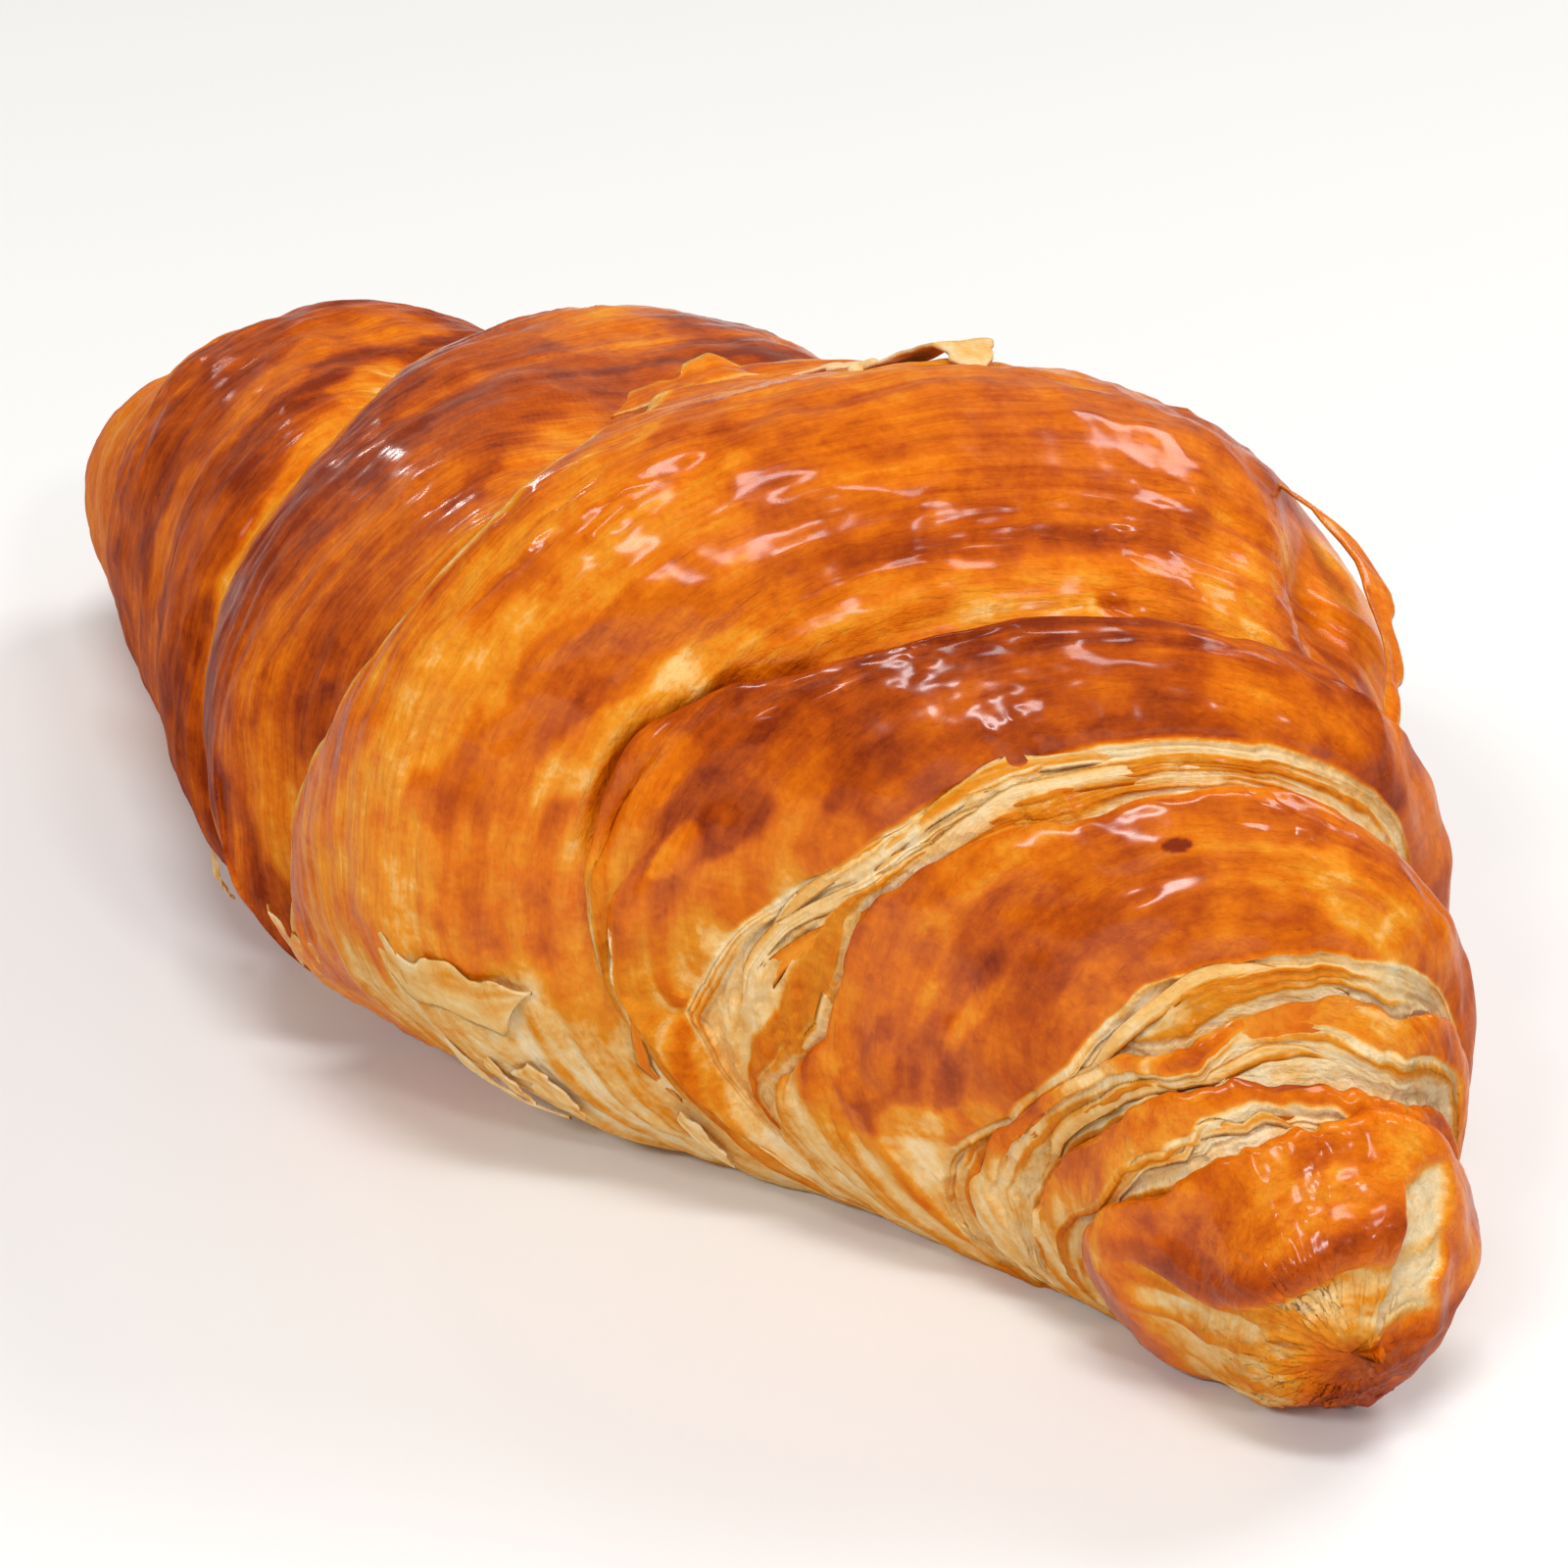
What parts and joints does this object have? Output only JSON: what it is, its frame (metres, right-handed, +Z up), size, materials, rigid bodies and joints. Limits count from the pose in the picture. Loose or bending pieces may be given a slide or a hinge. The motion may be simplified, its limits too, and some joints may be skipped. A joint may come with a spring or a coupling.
{
  "type": "croissant",
  "caption": "Bent, rolled croissant with stepped wraps, a puffed middle, blunt tips and a flat underside.",
  "frame": {"origin": "middle of the bounding box in plan, on the ground under the croissant", "axes": "+X along the length towards the shorter, blunter tip, +Z up, -Y the side the tips lean towards"},
  "size_m": [0.1662, 0.0768, 0.059],
  "materials": {
    "crust": "egg-washed golden-brown crust, uneven gloss"
  },
  "bodies": {
    "root": {"croissant": "crust"}
  },
  "joints": []
}
